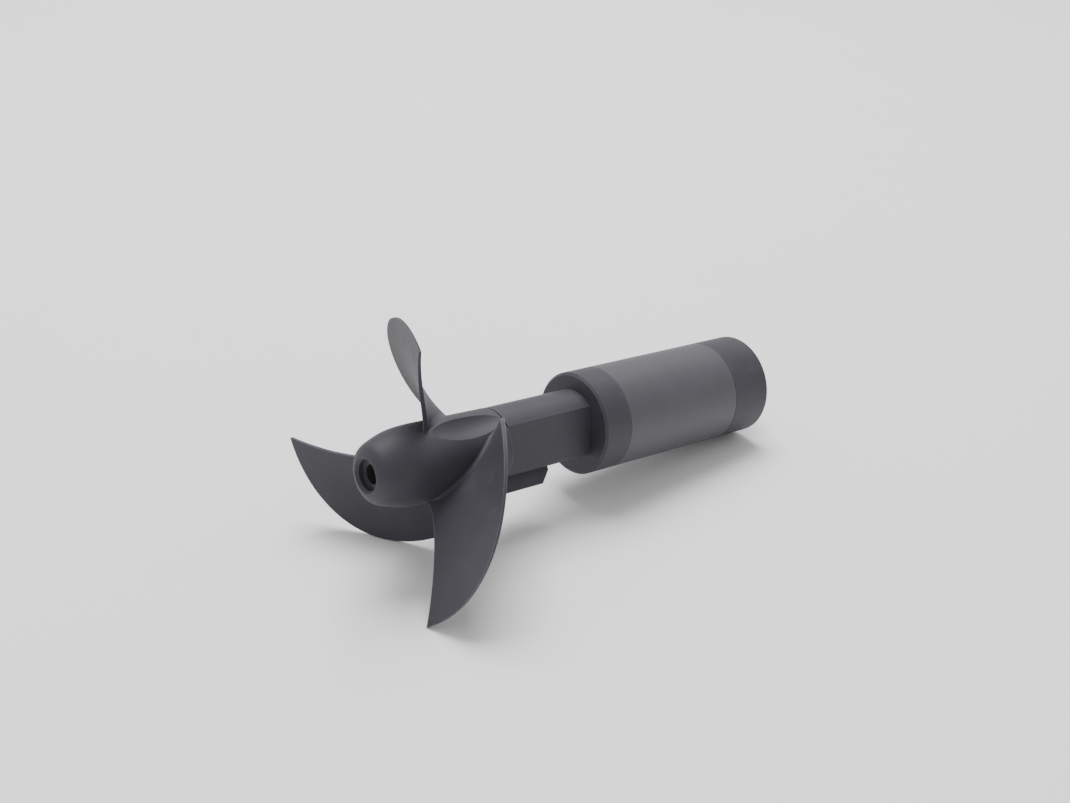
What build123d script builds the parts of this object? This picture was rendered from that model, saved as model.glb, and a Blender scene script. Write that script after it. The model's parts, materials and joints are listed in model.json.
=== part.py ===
"""Rotor of an aquarium wave maker pump: a three-bladed propeller driven by a magnet.

The origin is on the shaft line, in the middle of the magnet end. The rotor is modelled as
it lies on a table, resting on two blades and the rear cap, so its shaft line is pitched
nose up. A station is a distance along the shaft line from the drive cap's front face,
counted towards the nose. An angle is counted about the shaft line from the first blade's
tip, right-handed towards the nose.
"""

import os
from math import cos, radians, sin

from build123d import *

# How the rotor lies on the table.
SHAFT_PITCH = 7.38
TIP_ANGLE = 219.35

# Magnet end, in millimetres.
MAGNET_RADIUS = 8.5
DRIVE_CAP_REAR = -5.45
MAGNET_REAR = -30.3
ROTOR_REAR = -38.5
CARRIER_RADIUS = 4.1
CARRIER_FRONT = -1.8
CARRIER_REAR = -36.0
DISH_RADIUS = 5.5
DISH_DEPTH = 1.0
EDGE_BREAK = 0.4
SEAM_BREAK = 0.12

# Ceramic shaft, and the bushes that turn on it.
SHAFT_RADIUS = 1.5
SHAFT_FRONT = 35.4
SHAFT_STUB = 5.5
STUB_RADIUS = 1.25
STUB_SHOULDER = 0.6
RUNNING_FIT = 0.05
BUSH_RADIUS = 2.15
BUSH_LENGTH = 6.0
WASHER_BORE = 1.75

# Propeller.
NOSE = 40.5
NOSE_BORE_RADIUS = 2.4
NOSE_BORE_DEPTH = 1.2
HUB_REAR = 17.2
HUB_RADIUS = 6.15
HUB_REAR_RADIUS = 5.85
HUB_WALL = 1.7
NOSE_WALL = 5.5
CORE_TUBE_RADIUS = 3.4
BLADE_COUNT = 3
PROPELLER_RADIUS = 23.8
TIP_STATION = 38.55
BLADE_PITCH = 45.6
BLADE_RAKE = 0.377
ROOT_THICKNESS = 1.0
TIP_THICKNESS = 0.45
SLAB_REAR_ANGLE = 125
SLAB_FRONT_ANGLE = -30
SCOOP_ANGLE = 118
SCOOP_REACH = 9.0
SCOOP_RADIUS = 4.05

# Dog clutch between the propeller and the magnet.
DOG_FLAT = 4.25
DOG_RADIUS = 5.8
DOG_FLAT_ANGLE = 60
DOG_ANGLES = (9, 214)
PAD_ANGLES = ((1, 9), (214, 222))
PAD_RADIUS = 5.3
JAW_ANGLES = (-58, -2)
JAW_RADIUS = 8.1
JAW_END = 7.6
JAW_SLOPE = 1.9
DOG_CORE_RADIUS = 2.9
RUNNING_GAP = 0.3

PITCH_UP = radians(SHAFT_PITCH)
SHAFT = Plane(
    origin=(-cos(PITCH_UP) * ROTOR_REAR / 2, 0, -sin(PITCH_UP) * ROTOR_REAR / 2),
    x_dir=(-sin(PITCH_UP), 0, cos(PITCH_UP)),
    z_dir=(cos(PITCH_UP), 0, sin(PITCH_UP)),
)
SHAFT_LINE = Axis(SHAFT.origin, SHAFT.z_dir)


def polar(radius, angle):
    """Point of a plane at a radius and an angle."""
    return (radius * cos(radians(angle)), radius * sin(radians(angle)))


def outward(angle):
    """Direction away from the shaft line at an angle."""
    return SHAFT.from_local_coords(Vector(*polar(1, TIP_ANGLE + angle), 0)) - SHAFT.origin


def across(station, angle=0):
    """Plane across the shaft line at a station, with its X axis at an angle."""
    return Plane(origin=SHAFT.offset(station).origin, x_dir=outward(angle), z_dir=SHAFT.z_dir)


def along(angle=0):
    """Plane through the shaft line: its X axis runs to the nose and its Y axis outwards."""
    return Plane(origin=SHAFT.origin, x_dir=SHAFT.z_dir, z_dir=outward(angle + 90))


def save(solid, label):
    """Label one finished piece and write its STEP file."""
    solid.label = label
    export_step(solid, f"parts/{label}.step")


def turned(corners):
    """Piece turned about the shaft line from its (station, radius) corners."""
    with BuildPart() as piece:
        with BuildSketch(along()):
            with BuildLine():
                Polyline(*corners, close=True)
            make_face()
        revolve(axis=SHAFT_LINE)
    return piece.part


def tube(rear, front, outer, inner):
    """Plain tube between two stations."""
    return turned([(rear, inner), (front, inner), (front, outer), (rear, outer)])


def wedge(first, last):
    """Sector between two angles, as wide as the magnet."""
    with BuildSketch() as sector:
        with BuildLine():
            Line((0, 0), polar(MAGNET_RADIUS, first))
            ThreePointArc(
                polar(MAGNET_RADIUS, first),
                polar(MAGNET_RADIUS, (first + last) / 2),
                polar(MAGNET_RADIUS, last),
            )
            Line(polar(MAGNET_RADIUS, last), (0, 0))
        make_face()
    return sector.sketch


def blade_tip_angle(index):
    """Angle of one blade's tip."""
    return index * 360 / BLADE_COUNT


# Propeller.


def make_hub_blank():
    """Bullet-shaped hub, still solid, with a long scoop ahead of each blade's rear root."""
    shoulder = NOSE - 9.5
    with BuildPart() as blank:
        with BuildSketch(along()):
            with BuildLine():
                Polyline((NOSE, 0), (HUB_REAR, 0), (HUB_REAR, HUB_REAR_RADIUS), (shoulder, HUB_RADIUS))
                Spline(
                    (shoulder, HUB_RADIUS),
                    (NOSE - 4.3, 5.7),
                    (NOSE - 2.3, 5.08),
                    (NOSE - 0.35, 3.75),
                    tangents=((1, 0), (0.45, -1)),
                )
                ThreePointArc((NOSE - 0.35, 3.75), (NOSE - 0.1, 3.3), (NOSE, 2.95))
                Line((NOSE, 2.95), (NOSE, 0))
            make_face()
        revolve(axis=SHAFT_LINE)
        scoop_rear = HUB_REAR + 0.3
        scoop_front = NOSE - 10.0
        for index in range(BLADE_COUNT):
            angle = blade_tip_angle(index) + SCOOP_ANGLE
            centre_line = Axis(SHAFT.origin + outward(angle) * SCOOP_REACH, SHAFT.z_dir)
            with BuildSketch(along(angle)):
                with BuildLine():
                    ThreePointArc(
                        (scoop_rear, HUB_REAR_RADIUS),
                        ((scoop_rear + scoop_front) / 2, SCOOP_REACH - SCOOP_RADIUS),
                        (scoop_front, HUB_RADIUS),
                    )
                    Polyline(
                        (scoop_front, HUB_RADIUS),
                        (scoop_front, SCOOP_REACH),
                        (scoop_rear, SCOOP_REACH),
                        (scoop_rear, HUB_REAR_RADIUS),
                    )
                make_face()
            revolve(axis=centre_line, mode=Mode.SUBTRACT)
    return blank.part


def make_hub(blank):
    """Hub shell: the blank hollowed from behind and bored through its nose."""
    cavity_front = NOSE - NOSE_WALL
    bore_end = NOSE - NOSE_BORE_DEPTH
    with BuildPart() as hub:
        add(blank)
        with BuildSketch(along()):
            with BuildLine():
                Polyline(
                    (HUB_REAR, 0),
                    (HUB_REAR, HUB_REAR_RADIUS - HUB_WALL),
                    (NOSE - 9.0, HUB_REAR_RADIUS - HUB_WALL),
                    (cavity_front, CORE_TUBE_RADIUS),
                    (cavity_front, BUSH_RADIUS),
                    (bore_end, BUSH_RADIUS),
                    (bore_end, NOSE_BORE_RADIUS),
                    (NOSE - EDGE_BREAK, NOSE_BORE_RADIUS),
                    (NOSE, NOSE_BORE_RADIUS + EDGE_BREAK),
                    (NOSE, 0),
                    close=True,
                )
            make_face()
        revolve(axis=SHAFT_LINE, mode=Mode.SUBTRACT)
    return hub.part


def blade_outline():
    """Blade seen along the shaft: tip on the X axis, rear edge swinging round to +Y."""
    with BuildSketch() as outline:
        with BuildLine():
            Spline((4.0, -0.6), (9.3, 1.2), (12.9, 1.5), (16.5, 1.4), (PROPELLER_RADIUS, 0))
            Spline(
                (PROPELLER_RADIUS, 0),
                (23.5, 4.4),
                (22.0, 8.5),
                (19.3, 12.0),
                (15.8, 14.4),
                (11.8, 15.6),
                (7.8, 15.6),
                (4.2, 14.7),
                (1.2, 13.1),
                (-1.0, 10.9),
                (-2.3, 8.2),
            )
            Line((-2.3, 8.2), (-1.2, 4.0))
            Line((-1.2, 4.0), (4.0, -0.6))
        make_face()
    return outline.sketch


def make_blade(tip_angle, blank):
    """One blade: a raked helical slab, cut to the blade outline and to the hub."""
    inner = HUB_REAR_RADIUS - 2.0
    outer = PROPELLER_RADIUS + 1.0
    sweep_angle = SLAB_REAR_ANGLE - SLAB_FRONT_ANGLE
    rear_station = TIP_STATION - BLADE_PITCH * SLAB_REAR_ANGLE / 360
    inner_station = rear_station - BLADE_RAKE * (PROPELLER_RADIUS - inner)
    outer_station = rear_station + BLADE_RAKE * (outer - PROPELLER_RADIUS)
    with BuildLine() as helix:
        Helix(BLADE_PITCH, BLADE_PITCH * sweep_angle / 360, inner, lefthand=True)
    root_line = across(inner_station, tip_angle + SLAB_REAR_ANGLE).from_local_coords(helix.line)
    with BuildPart() as blade:
        with BuildSketch(along(tip_angle + SLAB_REAR_ANGLE)):
            with BuildLine():
                Polyline(
                    (inner_station - ROOT_THICKNESS / 2, inner),
                    (inner_station + ROOT_THICKNESS / 2, inner),
                    (outer_station + TIP_THICKNESS / 2, outer),
                    (outer_station - TIP_THICKNESS / 2, outer),
                    close=True,
                )
            make_face()
        sweep(path=root_line, is_frenet=True)
        with BuildSketch(across(HUB_REAR, tip_angle)):
            add(blade_outline())
        extrude(amount=NOSE, mode=Mode.INTERSECT)
        add(blank, mode=Mode.SUBTRACT)
    return blade.part


def make_hub_core():
    """Flanged tube inside the hub: it carries the rear bush and closes the shell."""
    flange = HUB_REAR + 1.5
    return turned([
        (HUB_REAR, BUSH_RADIUS),
        (NOSE - NOSE_WALL, BUSH_RADIUS),
        (NOSE - NOSE_WALL, CORE_TUBE_RADIUS),
        (flange, CORE_TUBE_RADIUS),
        (flange, HUB_REAR_RADIUS - HUB_WALL),
        (HUB_REAR, HUB_REAR_RADIUS - HUB_WALL),
    ])


def make_jaw(blank, blades):
    """Propeller's half of the clutch: a broad jaw that runs from the hub's flank behind it."""
    skirt = HUB_REAR + 2.6
    with BuildPart() as jaw:
        with BuildSketch(along()):
            with BuildLine():
                Polyline(
                    (JAW_END, DOG_CORE_RADIUS + RUNNING_GAP),
                    (HUB_REAR, DOG_CORE_RADIUS + RUNNING_GAP),
                    (HUB_REAR, HUB_REAR_RADIUS - 1.0),
                    (skirt, HUB_REAR_RADIUS - 1.0),
                    (skirt, HUB_REAR_RADIUS + 0.4),
                    (HUB_REAR, JAW_RADIUS),
                    (JAW_END + JAW_SLOPE, JAW_RADIUS),
                    (JAW_END, JAW_RADIUS - JAW_SLOPE),
                    close=True,
                )
            make_face()
        revolve(axis=SHAFT_LINE)
        with BuildSketch(across(JAW_END)):
            add(wedge(*JAW_ANGLES))
        extrude(amount=skirt - JAW_END, mode=Mode.INTERSECT)
        add(blank, mode=Mode.SUBTRACT)
        for blade in blades:
            add(blade, mode=Mode.SUBTRACT)
    return jaw.part


# Magnet rotor.


def make_drive_cap():
    """Front cap: a thick disc bored for the front bush, with a socket for the carrier."""
    return turned([
        (DRIVE_CAP_REAR, CARRIER_RADIUS),
        (CARRIER_FRONT, CARRIER_RADIUS),
        (CARRIER_FRONT, BUSH_RADIUS),
        (0, BUSH_RADIUS),
        (0, MAGNET_RADIUS - EDGE_BREAK),
        (-EDGE_BREAK, MAGNET_RADIUS),
        (DRIVE_CAP_REAR + SEAM_BREAK, MAGNET_RADIUS),
        (DRIVE_CAP_REAR, MAGNET_RADIUS - SEAM_BREAK),
    ])


def make_magnet():
    """Magnet: a ground ring with its edges broken."""
    return turned([
        (MAGNET_REAR, CARRIER_RADIUS),
        (DRIVE_CAP_REAR, CARRIER_RADIUS),
        (DRIVE_CAP_REAR, MAGNET_RADIUS - SEAM_BREAK),
        (DRIVE_CAP_REAR - SEAM_BREAK, MAGNET_RADIUS),
        (MAGNET_REAR + SEAM_BREAK, MAGNET_RADIUS),
        (MAGNET_REAR, MAGNET_RADIUS - SEAM_BREAK),
    ])


def make_rear_cap():
    """Rear cap: socket for the carrier in front and a dish for the washer behind."""
    dish = ROTOR_REAR + DISH_DEPTH
    return turned([
        (MAGNET_REAR, CARRIER_RADIUS),
        (CARRIER_REAR, CARRIER_RADIUS),
        (CARRIER_REAR, BUSH_RADIUS),
        (dish, BUSH_RADIUS),
        (dish, DISH_RADIUS),
        (ROTOR_REAR, DISH_RADIUS),
        (ROTOR_REAR, MAGNET_RADIUS - EDGE_BREAK),
        (ROTOR_REAR + EDGE_BREAK, MAGNET_RADIUS),
        (MAGNET_REAR - SEAM_BREAK, MAGNET_RADIUS),
        (MAGNET_REAR, MAGNET_RADIUS - SEAM_BREAK),
    ])


def make_dog():
    """Magnet's half of the clutch: a round block with two flats, open where the jaw moves."""
    dog_front = HUB_REAR - RUNNING_GAP
    with BuildPart() as dog:
        with BuildSketch(across(0)):
            Circle(DOG_RADIUS)
            Rectangle(2 * DOG_FLAT, 2 * DOG_RADIUS, rotation=DOG_FLAT_ANGLE, mode=Mode.INTERSECT)
            add(wedge(*DOG_ANGLES), mode=Mode.INTERSECT)
            Circle(DOG_CORE_RADIUS)
        extrude(amount=dog_front)
        with BuildSketch(across(0)):
            Circle(BUSH_RADIUS)
        extrude(amount=dog_front, mode=Mode.SUBTRACT)
    return dog.part


def make_pad(angles):
    """Rubber pad on one end face of the dog, where the jaw strikes it."""
    with BuildPart() as pad:
        with BuildSketch(across(1.5)):
            Circle(PAD_RADIUS)
            Circle(DOG_CORE_RADIUS, mode=Mode.SUBTRACT)
            Rectangle(2 * DOG_FLAT, 2 * DOG_RADIUS, rotation=DOG_FLAT_ANGLE, mode=Mode.INTERSECT)
            add(wedge(*angles), mode=Mode.INTERSECT)
        extrude(amount=HUB_REAR - 3.0)
    return pad.part


# Shaft.


def make_shaft():
    """Ceramic shaft: buried in the nose, stepped down where it stands out of the rear cap."""
    rear = ROTOR_REAR - SHAFT_STUB
    shoulder = ROTOR_REAR - STUB_SHOULDER
    return turned([
        (rear, 0),
        (SHAFT_FRONT, 0),
        (SHAFT_FRONT, SHAFT_RADIUS - 0.2),
        (SHAFT_FRONT - 0.2, SHAFT_RADIUS),
        (shoulder, SHAFT_RADIUS),
        (shoulder, STUB_RADIUS),
        (rear + 0.2, STUB_RADIUS),
        (rear, STUB_RADIUS - 0.2),
    ])


def make_bush(rear):
    """Bearing bush that turns on the shaft."""
    return tube(rear, rear + BUSH_LENGTH, BUSH_RADIUS, SHAFT_RADIUS + RUNNING_FIT)


def build():
    """Build every piece and write its STEP file."""
    os.makedirs("parts", exist_ok=True)
    blank = make_hub_blank()
    blades = [make_blade(blade_tip_angle(index), blank) for index in range(BLADE_COUNT)]
    save(make_hub(blank), "propeller_hub")
    for number, blade in enumerate(blades, start=1):
        save(blade, f"propeller_blade_{number}")
    save(make_hub_core(), "hub_core")
    save(make_bush(NOSE - NOSE_BORE_DEPTH - BUSH_LENGTH), "nose_bush")
    save(make_bush(HUB_REAR + 0.2), "hub_rear_bush")
    save(make_jaw(blank, blades), "clutch_jaw")

    save(make_drive_cap(), "drive_cap")
    save(make_dog(), "drive_dog")
    for number, angles in enumerate(PAD_ANGLES, start=1):
        save(make_pad(angles), f"clutch_pad_{number}")
    save(make_magnet(), "magnet")
    save(tube(CARRIER_REAR, CARRIER_FRONT, CARRIER_RADIUS, BUSH_RADIUS), "magnet_carrier")
    save(make_rear_cap(), "rear_cap")
    save(make_bush(-BUSH_LENGTH), "front_bush")
    save(make_bush(ROTOR_REAR + DISH_DEPTH), "rear_bush")
    washer_front = HUB_REAR - RUNNING_GAP / 2
    save(tube(washer_front - 1.2, washer_front, BUSH_RADIUS, WASHER_BORE), "front_thrust_washer")
    save(tube(ROTOR_REAR, ROTOR_REAR + DISH_DEPTH, DISH_RADIUS - 1.0, WASHER_BORE), "rear_thrust_washer")

    save(make_shaft(), "ceramic_shaft")


build()
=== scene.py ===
"""Studio scene of a wave maker pump's rotor: propeller, dog clutch and magnet on a ceramic shaft.

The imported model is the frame. Its nodes keep their meshes and get finishes here. The fillets at
the blades' roots are built in mesh code and ride on the propeller.
"""

from __future__ import annotations

import json
import logging
import math
from dataclasses import dataclass, field
from enum import Enum

import bmesh
import bpy
from mathutils import Matrix, Vector
from mathutils.bvhtree import BVHTree


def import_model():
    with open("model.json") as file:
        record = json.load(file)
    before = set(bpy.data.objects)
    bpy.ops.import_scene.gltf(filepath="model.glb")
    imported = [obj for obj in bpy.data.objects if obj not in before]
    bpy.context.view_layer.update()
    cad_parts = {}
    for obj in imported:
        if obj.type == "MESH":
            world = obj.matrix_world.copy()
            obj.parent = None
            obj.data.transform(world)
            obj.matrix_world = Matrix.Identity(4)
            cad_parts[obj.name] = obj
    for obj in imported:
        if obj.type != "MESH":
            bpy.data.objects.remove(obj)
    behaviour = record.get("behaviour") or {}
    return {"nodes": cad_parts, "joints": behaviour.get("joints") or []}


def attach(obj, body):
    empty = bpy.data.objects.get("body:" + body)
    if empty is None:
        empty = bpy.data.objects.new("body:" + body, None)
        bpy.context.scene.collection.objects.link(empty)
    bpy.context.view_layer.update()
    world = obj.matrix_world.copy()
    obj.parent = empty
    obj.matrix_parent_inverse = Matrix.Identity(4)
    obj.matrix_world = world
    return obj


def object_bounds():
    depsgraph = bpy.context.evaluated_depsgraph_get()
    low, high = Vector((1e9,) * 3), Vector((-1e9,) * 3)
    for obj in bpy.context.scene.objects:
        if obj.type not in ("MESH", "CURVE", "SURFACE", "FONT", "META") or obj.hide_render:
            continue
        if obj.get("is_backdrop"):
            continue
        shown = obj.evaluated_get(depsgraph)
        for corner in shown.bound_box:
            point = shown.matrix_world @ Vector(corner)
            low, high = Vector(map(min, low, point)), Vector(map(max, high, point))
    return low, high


log = logging.getLogger("rotor")

MM = 0.001

# Rays of the rounded normal, and how far it has to turn for the edge mask to start and to be full.
EDGE_SAMPLES = 6
EDGE_FLAT = 0.004
EDGE_FULL = 0.12


class Body(Enum):
    """Moving body of the frame that built pieces ride on."""

    PROPELLER = "propeller"


class Side(Enum):
    """Side of a blade, with the sign of its direction along the shaft line."""

    FRONT = 1
    REAR = -1


class Sock:
    """A shader socket that arithmetic can be written on."""

    def __init__(self, tree: Tree, socket: bpy.types.NodeSocket) -> None:
        """Wraps one output socket of a tree."""
        self.tree = tree
        self.socket = socket

    def _math(self, operation: str, *values: Sock | float, clamp: bool = False) -> Sock:
        """Adds a Math node.

        Args:
            operation: The node's operation.
            values: Its inputs in order.
            clamp: Whether the result is kept from 0 to 1.

        Returns:
            The node's result.
        """
        settings = {"operation": operation, "use_clamp": clamp}
        return self.tree.node("ShaderNodeMath", settings, dict(enumerate(values)))

    def __add__(self, other: Sock | float) -> Sock:
        """Sum."""
        return self._math("ADD", self, other)

    def __radd__(self, other: Sock | float) -> Sock:
        """Sum, reflected."""
        return self._math("ADD", other, self)

    def __sub__(self, other: Sock | float) -> Sock:
        """Difference."""
        return self._math("SUBTRACT", self, other)

    def __rsub__(self, other: Sock | float) -> Sock:
        """Difference, reflected."""
        return self._math("SUBTRACT", other, self)

    def __mul__(self, other: Sock | float) -> Sock:
        """Product."""
        return self._math("MULTIPLY", self, other)

    def __rmul__(self, other: Sock | float) -> Sock:
        """Product, reflected."""
        return self._math("MULTIPLY", other, self)

    def sine(self) -> Sock:
        """Sine of the value in radians."""
        return self._math("SINE", self)

    def clamp(self) -> Sock:
        """The value kept from 0 to 1."""
        return self._math("ADD", self, 0.0, clamp=True)

    def between(self, low: float, high: float) -> Sock:
        """Smooth step.

        Args:
            low: Value that gives 0.
            high: Value that gives 1.

        Returns:
            The value turned into a mask from 0 to 1.
        """
        settings = {"interpolation_type": "SMOOTHSTEP", "clamp": True}
        values = {"Value": self, "From Min": low, "From Max": high}
        return self.tree.node("ShaderNodeMapRange", settings, values)


class Tree:
    """Node tree of one material, with a Principled shader at its end."""

    def __init__(self, name: str) -> None:
        """Makes an empty material.

        Args:
            name: The material's name.
        """
        self.material = bpy.data.materials.new(name)
        self.material.use_nodes = True
        self.nodes = self.material.node_tree.nodes
        self.links = self.material.node_tree.links
        self.nodes.clear()
        self.shader = self.nodes.new("ShaderNodeBsdfPrincipled")
        output = self.nodes.new("ShaderNodeOutputMaterial")
        self.links.new(self.shader.outputs["BSDF"], output.inputs["Surface"])

    def put(self, target: bpy.types.NodeSocket, value: object) -> None:
        """Links a socket to an input, or sets the input's own value."""
        if isinstance(value, Sock):
            self.links.new(value.socket, target)
        else:
            target.default_value = value

    def node(
        self,
        kind: str,
        settings: dict[str, object] | None = None,
        values: dict[str | int, object] | None = None,
        output: str | int = 0,
    ) -> Sock:
        """Adds a node.

        Args:
            kind: The node's type.
            settings: Its own settings, set first.
            values: Values or links of its inputs.
            output: Which output is wanted.

        Returns:
            That output.
        """
        made = self.nodes.new(kind)
        for key, value in (settings or {}).items():
            setattr(made, key, value)
        for key, value in (values or {}).items():
            self.put(made.inputs[key], value)
        return Sock(self, made.outputs[output])

    def mix(self, factor: Sock | float, first: object, second: object) -> Sock:
        """Mixes two colours.

        Args:
            factor: 0 gives the first, 1 the second.
            first: A colour or a link.
            second: A colour or a link.

        Returns:
            The mixed colour.
        """
        settings = {"data_type": "RGBA", "clamp_factor": True}
        return self.node("ShaderNodeMix", settings, {0: factor, 6: first, 7: second}, output=2)

    def place(self) -> Sock:
        """Object coordinates, which are the row frame's."""
        return self.node("ShaderNodeTexCoord", output="Object")

    def noise(self, where: Sock, scale: float, detail: float = 3.0, rough: float = 0.55) -> Sock:
        """Noise at a place.

        Args:
            where: Coordinates.
            scale: Cells per metre.
            detail: Octaves.
            rough: Strength of the fine octaves.

        Returns:
            A value from 0 to 1.
        """
        values = {"Vector": where, "Scale": scale, "Detail": detail, "Roughness": rough}
        return self.node("ShaderNodeTexNoise", {"noise_dimensions": "3D"}, values)

    def specks(self, where: Sock, scale: float, size: float) -> Sock:
        """Scattered round specks.

        Args:
            where: Coordinates.
            scale: Cells per metre.
            size: Speck radius in cells.

        Returns:
            A mask that is 1 inside a speck.
        """
        values = {"Vector": where, "Scale": scale, "Randomness": 1.0}
        distance = self.node("ShaderNodeTexVoronoi", {"feature": "F1"}, values)
        return 1.0 - distance.between(size * 0.5, size)

    def along_shaft(self, where: Sock, axis: Vector) -> Sock:
        """Station of a point along the shaft line, in metres."""
        return self.node(
            "ShaderNodeVectorMath", {"operation": "DOT_PRODUCT"}, {0: where, 1: axis}, output="Value"
        )

    def edges(self, radius: float) -> Sock:
        """Outer edges of a piece.

        Args:
            radius: How far from an edge the mask reaches, in metres.

        Returns:
            A mask that is 1 on an edge.
        """
        rounded = self.node("ShaderNodeBevel", {"samples": EDGE_SAMPLES}, {"Radius": radius})
        flat = self.node("ShaderNodeNewGeometry", output="Normal")
        settings = {"operation": "DOT_PRODUCT"}
        alike = self.node("ShaderNodeVectorMath", settings, {0: rounded, 1: flat}, output="Value")
        return (1.0 - alike).between(EDGE_FLAT, EDGE_FULL)

    def bump(self, height: Sock, distance: float, strength: float = 1.0) -> Sock:
        """Normal bent by a height.

        Args:
            height: Height from 0 to 1.
            distance: Height in metres that 1 stands for.
            strength: How much of it shows.

        Returns:
            The normal.
        """
        values = {"Height": height, "Distance": distance, "Strength": strength}
        return self.node("ShaderNodeBump", None, values)

    def finish(self, colour: object, roughness: object, normal: Sock | None = None) -> None:
        """Feeds the shader.

        Args:
            colour: Base colour.
            roughness: Roughness.
            normal: Bent normal.
        """
        self.put(self.shader.inputs["Base Color"], colour)
        self.put(self.shader.inputs["Roughness"], roughness)
        if normal is not None:
            self.put(self.shader.inputs["Normal"], normal)


def grey(level: float, blue: float = 0.0) -> tuple[float, float, float, float]:
    """Opaque grey with a lean towards blue violet."""
    return (level, level * (1.0 - blue * 0.22), level * (1.0 + blue), 1.0)


@dataclass(frozen=True)
class MouldedPlastic:
    """Satin black plastic: fine mould grain, cloudy tone, hazy film, rubbed edges and dried lime.

    Scales are in cells per metre, and lengths in metres.
    """

    name: str
    level: float = 0.04
    blue: float = 0.22
    roughness: float = 0.6
    specular: float = 0.36
    grain: float = 9000.0
    grain_height: float = 7e-6
    ripple: float = 2600.0
    cloud: float = 130.0
    film: float = 420.0
    haze: float = 0.3
    chips: float = 1300.0
    edge_reach: float = 0.00028
    wear: float = 0.75
    lime: float = 800.0
    lime_patch: float = 110.0
    lime_size: float = 0.16

    def material(self, axis: Vector) -> bpy.types.Material:
        """Builds the material.

        Args:
            axis: Direction of the shaft line. Not used here.

        Returns:
            The material.
        """
        tree = Tree(self.name)
        where = tree.place()
        grain = tree.noise(where, self.grain, 2.0)
        cloud = tree.noise(where, self.cloud, 3.0)
        film = tree.noise(where, self.film, 5.0, 0.6).between(0.45, 0.85) * cloud.between(0.35, 0.7)
        chips = tree.noise(where, self.chips, 4.0, 0.7)
        rubbed = tree.edges(self.edge_reach) * chips.between(0.2, 0.6)
        patch = tree.noise(where, self.lime_patch).between(0.52, 0.68)
        lime = tree.specks(where, self.lime, self.lime_size) * patch
        base = tree.mix(cloud, grey(self.level * 0.75, self.blue), grey(self.level * 1.28, self.blue))
        hazy = tree.mix(film * self.haze, base, grey(self.level * 2.2, self.blue * 0.5))
        worn = tree.mix(rubbed * self.wear, hazy, grey(self.level * 3.2, self.blue))
        colour = tree.mix(lime * 0.2, worn, grey(0.2))
        rough = (film * 0.16 + cloud * 0.08 + lime * 0.2 + rubbed * 0.08 + self.roughness - 0.04).clamp()
        fine = grain * 0.6 + tree.noise(where, self.ripple, 3.0) * 0.4
        tree.finish(colour, rough, tree.bump(fine, self.grain_height))
        tree.shader.inputs["Specular IOR Level"].default_value = self.specular
        return tree.material


@dataclass(frozen=True)
class Ferrite:
    """Ground ferrite: matt grey, ringed by fine grinding lines, with pores and pale edges.

    Scales are in cells per metre, and lengths in metres.
    """

    name: str
    level: float = 0.062
    roughness: float = 0.5
    ring_pitch: float = 0.00022
    ring_height: float = 5e-6
    streaks: float = 5200.0
    pore: float = 2600.0
    cloud: float = 210.0
    grit: float = 7000.0
    edge_reach: float = 0.0003

    def material(self, axis: Vector) -> bpy.types.Material:
        """Builds the material.

        Args:
            axis: Direction of the shaft line.

        Returns:
            The material.
        """
        tree = Tree(self.name)
        where = tree.place()
        station = tree.along_shaft(where, axis)
        wander = tree.noise(where, 120.0) * self.ring_pitch * 2.0
        turns = (station + wander) * (2 * math.pi / self.ring_pitch)
        ring = turns.sine() * 0.5 + 0.5
        along = tree.node("ShaderNodeCombineXYZ", None, {0: station * self.streaks, 1: 0.0, 2: 0.0})
        streak = tree.noise(along, 1.0, 4.0, 0.7)
        pores = tree.specks(where, self.pore, 0.2) * tree.noise(where, 500.0).between(0.45, 0.65)
        cloud = tree.noise(where, self.cloud, 5.0, 0.6)
        base = tree.mix(cloud, grey(self.level * 0.86, 0.14), grey(self.level * 1.16, 0.16))
        lined = tree.mix(streak.between(0.35, 0.75) * 0.3, base, grey(self.level * 1.35, 0.12))
        worn = tree.mix(tree.edges(self.edge_reach) * 0.5, lined, grey(self.level * 2.4))
        colour = tree.mix(pores * 0.55, worn, grey(self.level * 0.4))
        rough = (cloud * 0.12 + streak * 0.1 + pores * 0.15 + self.roughness - 0.1).clamp()
        height = ring * 0.4 + streak * 0.4 + tree.noise(where, self.grit) * 0.4 - pores * 0.8
        tree.finish(colour, rough, tree.bump(height, self.ring_height))
        return tree.material


@dataclass(frozen=True)
class Rubber:
    """Dull black rubber with a fine tooth and a bloom."""

    name: str
    level: float = 0.022
    bloom: float = 800.0
    tooth: float = 6000.0
    tooth_height: float = 8e-6

    def material(self, axis: Vector) -> bpy.types.Material:
        """Builds the material.

        Args:
            axis: Direction of the shaft line. Not used here.

        Returns:
            The material.
        """
        tree = Tree(self.name)
        where = tree.place()
        bloom = tree.noise(where, self.bloom, 4.0)
        colour = tree.mix(bloom.between(0.4, 0.8), grey(self.level), grey(self.level * 2.0))
        tooth = tree.noise(where, self.tooth, 2.0)
        tree.finish(colour, bloom * 0.15 + 0.7, tree.bump(tooth, self.tooth_height))
        return tree.material


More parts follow.
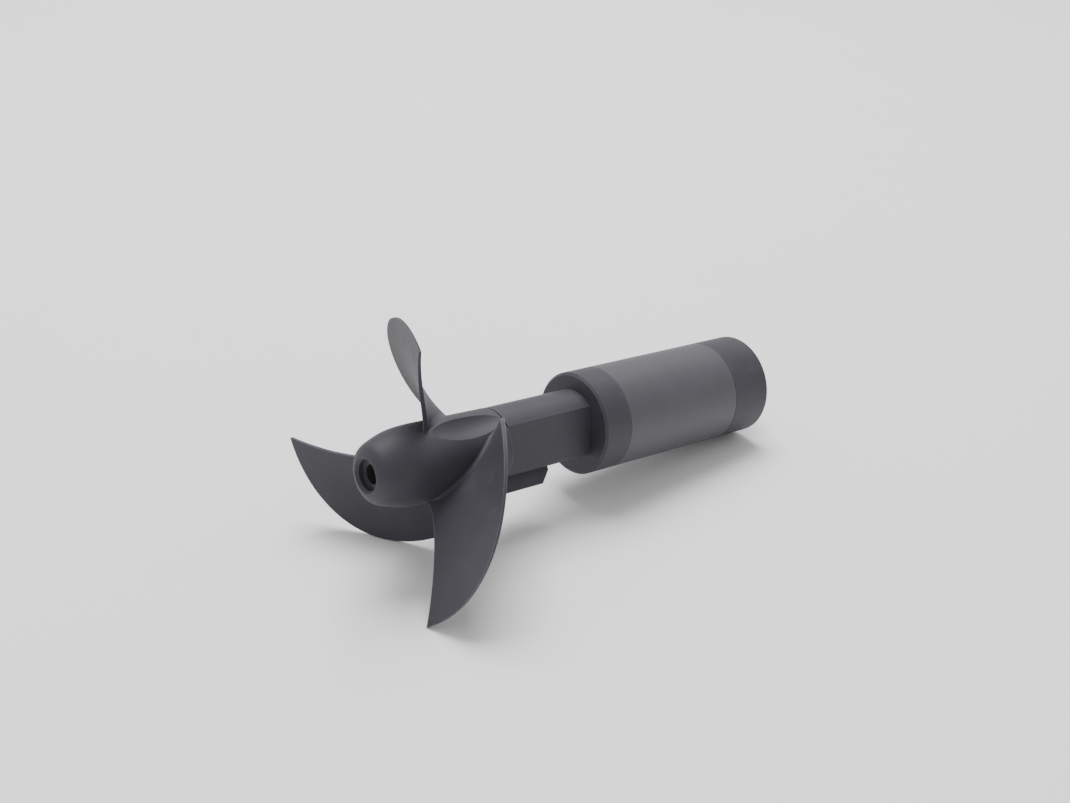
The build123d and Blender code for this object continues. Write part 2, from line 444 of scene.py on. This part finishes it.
@dataclass(frozen=True)
class TurnedPlastic:
    """Turned bearing plastic with fine concentric tool marks."""

    name: str
    level: float = 0.04
    feed: float = 0.00012
    cloud: float = 900.0
    mark_height: float = 3e-6

    def material(self, axis: Vector) -> bpy.types.Material:
        """Builds the material.

        Args:
            axis: Direction of the shaft line.

        Returns:
            The material.
        """
        tree = Tree(self.name)
        where = tree.place()
        station = tree.along_shaft(where, axis)
        turns = station * (2 * math.pi / self.feed)
        ring = turns.sine() * 0.5 + 0.5
        cloud = tree.noise(where, self.cloud, 4.0)
        colour = tree.mix(cloud, grey(self.level * 0.8), grey(self.level * 1.25))
        tree.finish(colour, cloud * 0.15 + 0.42, tree.bump(ring * 0.6 + cloud * 0.4, self.mark_height))
        return tree.material


@dataclass(frozen=True)
class Ceramic:
    """Ground white alumina: off-white and glossy, with faint grey clouds."""

    name: str
    clean: tuple[float, float, float, float] = (0.82, 0.81, 0.77, 1.0)
    rubbed: tuple[float, float, float, float] = (0.6, 0.6, 0.58, 1.0)
    cloud: float = 350.0
    grit: float = 8000.0
    grit_height: float = 1.5e-6

    def material(self, axis: Vector) -> bpy.types.Material:
        """Builds the material.

        Args:
            axis: Direction of the shaft line. Not used here.

        Returns:
            The material.
        """
        tree = Tree(self.name)
        where = tree.place()
        cloud = tree.noise(where, self.cloud, 4.0)
        grit = tree.noise(where, self.grit, 2.0)
        colour = tree.mix(cloud.between(0.5, 0.8) * 0.5, self.clean, self.rubbed)
        tree.finish(colour, cloud * 0.15 + 0.18, tree.bump(grit, self.grit_height))
        return tree.material


@dataclass
class RootFillet:
    """Fillet on one side of a blade, in the corner where it leaves the hub.

    Lengths are in millimetres and angles in degrees, as in the frame. Stations run along the shaft
    line towards the nose, and angles are counted from the blade's tip.
    """

    hub: bpy.types.Object
    axis: Vector
    tip_angle: float
    side: Side
    middle_station: float = -19.25
    tip_station: float = 38.55
    tip_radius: float = 23.8
    pitch: float = 45.6
    rake: float = 0.377
    root_thickness: float = 1.0
    first_angle: float = 5.5
    last_angle: float = 104.0
    last_station: float = 17.4
    reach: float = 1.25
    height: float = 0.85
    sink: float = 0.05
    corner_sink: float = 0.2
    end_size: float = 0.12
    end_share: float = 0.1
    ray_start: float = 12.0
    root_guess: float = 6.0
    root_passes: int = 4
    lengthwise: int = 90
    round_steps: int = 7

    def direction(self, angle: float) -> Vector:
        """Direction away from the shaft line.

        Args:
            angle: Angle from the blade's tip.

        Returns:
            A unit vector.
        """
        upright = Vector((-self.axis.z, 0.0, self.axis.x))
        turn = math.radians(self.tip_angle + angle)
        return upright * math.cos(turn) + Vector((0.0, -1.0, 0.0)) * math.sin(turn)

    def point(self, station: float, radius: float, angle: float) -> Vector:
        """Place in the row frame, in metres, of a station, a radius and an angle."""
        along = self.axis * (station - self.middle_station)
        return (along + self.direction(angle) * radius) * MM

    def hub_radius(self, tree: BVHTree, station: float, angle: float) -> float:
        """Radius of the hub's skin.

        Args:
            tree: The hub's faces.
            station: Station.
            angle: Angle from the blade's tip.

        Returns:
            The radius.
        """
        start = self.point(station, self.ray_start, angle)
        hit = tree.ray_cast(start, -self.direction(angle))
        return self.ray_start - hit[3] / MM

    def blade_station(self, radius: float, angle: float) -> float:
        """Station of the blade's face on this side at a radius and an angle."""
        middle = self.tip_station - self.pitch * angle / 360 + self.rake * (radius - self.tip_radius)
        return middle + self.side.value * self.root_thickness / 2

    def section(self, tree: BVHTree, angle: float, size: float) -> list[Vector]:
        """Outline of the fillet at an angle.

        Args:
            tree: The hub's faces.
            angle: Angle from the blade's tip.
            size: Size there, 1 for full.

        Returns:
            Points from the hub round to the blade, then one in the corner.
        """
        radius = self.root_guess
        for _ in range(self.root_passes):
            radius = self.hub_radius(tree, self.blade_station(radius, angle), angle)
        corner = (self.blade_station(radius, angle), radius)
        foot = max(corner[0] + self.side.value * self.reach * size, self.last_station)
        low = (foot, self.hub_radius(tree, foot, angle) - self.sink)
        top = radius + self.height * size
        high = (self.blade_station(top, angle) - self.side.value * self.sink * 2, top)
        behind = corner[0] - self.side.value * self.corner_sink
        outline = []
        for step in range(self.round_steps + 1):
            t = step / self.round_steps
            station, out = (
                (1 - t) ** 2 * a + 2 * t * (1 - t) * b + t**2 * c
                for a, b, c in zip(low, corner, high)
            )
            outline.append(self.point(station, out, angle))
        outline.append(self.point(behind, radius - self.corner_sink, angle))
        return outline

    def sections(self) -> list[list[Vector]]:
        """Outlines from one end of the root to the other, small at both ends."""
        place = self.hub.matrix_world
        skin = BVHTree.FromPolygons(
            [place @ corner.co for corner in self.hub.data.vertices],
            [tuple(face.vertices) for face in self.hub.data.polygons],
        )
        rows = []
        for step in range(self.lengthwise + 1):
            share = step / self.lengthwise
            angle = self.first_angle + (self.last_angle - self.first_angle) * share
            grown = min(1.0, share / self.end_share, (1.0 - share) / self.end_share)
            size = self.end_size + (1.0 - self.end_size) * grown
            rows.append(self.section(skin, angle, size))
        return rows

    def build(self, name: str) -> bpy.types.Object:
        """Builds the fillet.

        Args:
            name: The piece's name.

        Returns:
            The piece.
        """
        rows = self.sections()
        around = len(rows[0])
        faces = []
        for i in range(self.lengthwise):
            here, after = i * around, (i + 1) * around
            for j in range(around):
                k = (j + 1) % around
                faces.append((here + j, here + k, after + k, after + j))
        last = self.lengthwise * around
        faces.append(tuple(range(around))[::-1])
        faces.append(tuple(range(last, last + around)))
        mesh = bpy.data.meshes.new(name)
        mesh.from_pydata([point for row in rows for point in row], [], faces)
        shaped = bmesh.new()
        shaped.from_mesh(mesh)
        bmesh.ops.recalc_face_normals(shaped, faces=shaped.faces)
        shaped.to_mesh(mesh)
        shaped.free()
        mesh.shade_smooth()
        piece = bpy.data.objects.new(name, mesh)
        bpy.context.collection.objects.link(piece)
        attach(piece, Body.PROPELLER.value)
        return piece


@dataclass
class Studio:
    """Table, lights and camera. Lengths are in metres, but the camera's place is in millimetres."""

    table_size: float = 3.0
    camera_place: tuple[float, float, float] = (160.54, 161.21, 119.13)
    heading: float = -129.65
    elevation: float = 27.70
    roll: float = 0.02
    lens: float = 50.23
    sensor: float = 36.0
    sky_level: float = 0.74
    key_place: tuple[float, float, float] = (-0.14, -0.3, 0.8)
    key_aim: tuple[float, float, float] = (0.02, 0.0, 0.0)
    key_side: float = 0.55
    key_watts: float = 11.0

    def build_table(self, low: float) -> None:
        """Pale matt table top under the rotor.

        Args:
            low: Height of the table top.
        """
        half = self.table_size / 2
        mesh = bpy.data.meshes.new("table_top")
        corners = [(-half, -half, low), (half, -half, low), (half, half, low), (-half, half, low)]
        mesh.from_pydata(corners, [], [(0, 1, 2, 3)])
        table = bpy.data.objects.new("table_top", mesh)
        bpy.context.collection.objects.link(table)
        tree = Tree("pale_table")
        where = tree.place()
        cloud = tree.noise(where, 25.0, 5.0)
        fibre = tree.noise(where, 1500.0, 3.0)
        colour = tree.mix(cloud, (0.88, 0.88, 0.877, 1.0), (0.91, 0.91, 0.907, 1.0))
        tree.finish(colour, 0.6, tree.bump(fibre, 2e-5, 0.4))
        mesh.materials.append(tree.material)
        table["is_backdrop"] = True

    def build_key(self) -> None:
        """Soft square light above and behind the rotor."""
        place, aim = Vector(self.key_place), Vector(self.key_aim)
        data = bpy.data.lights.new("key", "AREA")
        data.shape = "RECTANGLE"
        data.size, data.size_y = self.key_side, self.key_side
        data.energy = self.key_watts
        lamp = bpy.data.objects.new("key", data)
        lamp.location = place
        lamp.rotation_euler = (aim - place).to_track_quat("-Z", "Y").to_euler()
        bpy.context.collection.objects.link(lamp)

    def build_sky(self) -> None:
        """Even white surroundings."""
        world = bpy.data.worlds.new("white_room")
        world.use_nodes = True
        background = world.node_tree.nodes["Background"]
        background.inputs["Color"].default_value = (1.0, 1.0, 1.0, 1.0)
        background.inputs["Strength"].default_value = self.sky_level
        bpy.context.scene.world = world

    def build_camera(self) -> None:
        """Camera that looks down on the nose and the near side of the rotor."""
        data = bpy.data.cameras.new("camera")
        data.lens = self.lens
        data.sensor_width = self.sensor
        data.clip_start = 0.005
        data.clip_end = 20.0
        camera = bpy.data.objects.new("camera", data)
        heading, elevation = math.radians(self.heading), math.radians(self.elevation)
        forward = Vector((
            math.cos(heading) * math.cos(elevation),
            math.sin(heading) * math.cos(elevation),
            -math.sin(elevation),
        ))
        turn = forward.to_track_quat("-Z", "Y").to_matrix().to_4x4()
        tilt = Matrix.Rotation(math.radians(self.roll), 4, "Z")
        camera.matrix_world = Matrix.Translation(Vector(self.camera_place) * MM) @ turn @ tilt
        bpy.context.collection.objects.link(camera)
        bpy.context.scene.camera = camera


@dataclass
class Rotor:
    """The whole rotor: puts a finish on each node of the frame and fills the blades' roots."""

    nodes: dict[str, bpy.types.Object]
    axis: Vector
    first_tip: float = 219.35
    made: dict[str, bpy.types.Material] = field(default_factory=dict)

    def fill_roots(self, blades: list[str], material: bpy.types.Material) -> None:
        """Builds a fillet on each side of each blade.

        Args:
            blades: The blades' nodes.
            material: Their material.
        """
        for index, blade in enumerate(blades):
            tip_angle = self.first_tip + index * 360 / len(blades)
            for side in Side:
                fillet = RootFillet(self.nodes["propeller_hub"], self.axis, tip_angle, side)
                piece = fillet.build(f"{blade}_{side.name.lower()}_fillet")
                piece.data.materials.append(material)
                log.info("%s built", piece.name)

    def dress(self, finish: object, names: list[str]) -> None:
        """Gives nodes one finish.

        Args:
            finish: The finish.
            names: The nodes.
        """
        material = finish.material(self.axis)
        for name in names:
            mesh = self.nodes[name].data
            mesh.materials.clear()
            mesh.materials.append(material)
            log.info("%s wears %s", name, material.name)

    def dress_all(self) -> None:
        """Gives every node its finish."""
        blades = sorted(name for name in self.nodes if name.startswith("propeller_blade"))
        self.dress(MouldedPlastic("propeller_plastic"), ["propeller_hub", *blades, "clutch_jaw"])
        self.fill_roots(blades, MouldedPlastic("fillet_plastic", wear=0.0).material(self.axis))
        self.dress(
            MouldedPlastic("cap_plastic", level=0.04, roughness=0.55),
            ["drive_cap", "drive_dog", "rear_cap"],
        )
        self.dress(MouldedPlastic("inner_plastic", level=0.035), ["hub_core", "magnet_carrier"])
        self.dress(Ferrite("ground_ferrite"), ["magnet"])
        self.dress(Rubber("pad_rubber"), ["clutch_pad_1", "clutch_pad_2"])
        self.dress(
            TurnedPlastic("bush_plastic", level=0.032),
            ["nose_bush", "hub_rear_bush", "front_bush", "rear_bush"],
        )
        self.dress(
            TurnedPlastic("washer_plastic", level=0.4), ["front_thrust_washer", "rear_thrust_washer"]
        )
        self.dress(Ceramic("shaft_ceramic"), ["ceramic_shaft"])


def main() -> None:
    """Builds the scene."""
    logging.basicConfig(level=logging.INFO, format="%(name)s: %(message)s")
    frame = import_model()
    cad_low, cad_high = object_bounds()
    joint = frame["joints"][0]
    axis = Vector(joint["axis"]).normalized()
    rotor = Rotor(frame["nodes"], axis)
    rotor.dress_all()
    studio = Studio()
    studio.build_table(cad_low.z)
    studio.build_sky()
    studio.build_key()
    studio.build_camera()


if __name__ == "__main__":
    main()
